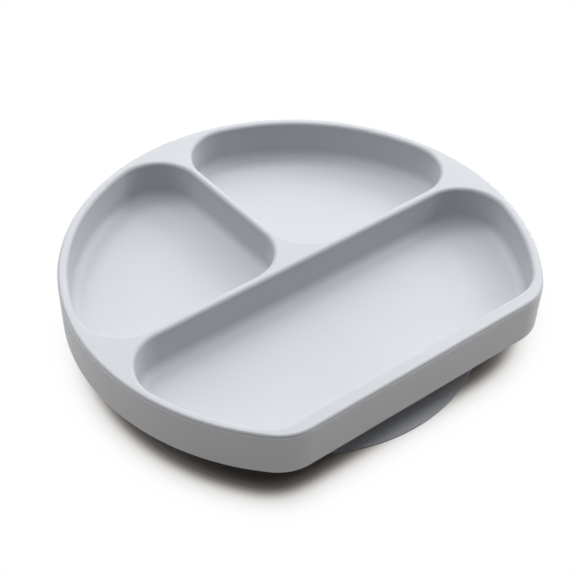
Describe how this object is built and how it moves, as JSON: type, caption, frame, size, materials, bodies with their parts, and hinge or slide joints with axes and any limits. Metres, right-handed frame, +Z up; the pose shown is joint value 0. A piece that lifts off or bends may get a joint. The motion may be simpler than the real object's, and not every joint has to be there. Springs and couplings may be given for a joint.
{
  "type": "divided baby suction plate",
  "caption": "Round one-piece silicone baby plate with a flat side, sunken compartments, a level rounded rim and a wide suction cup underneath.",
  "frame": {"origin": "on the table, under the middle of the part seen from above", "axes": "+Z up out of the compartments, +X along the flat side, -Y towards the flat side"},
  "size_m": [0.2168, 0.1924, 0.038],
  "materials": {
    "silicone": "soft matt pale blue-grey silicone"
  },
  "bodies": {
    "root": {"suction_plate": "silicone"}
  },
  "joints": []
}
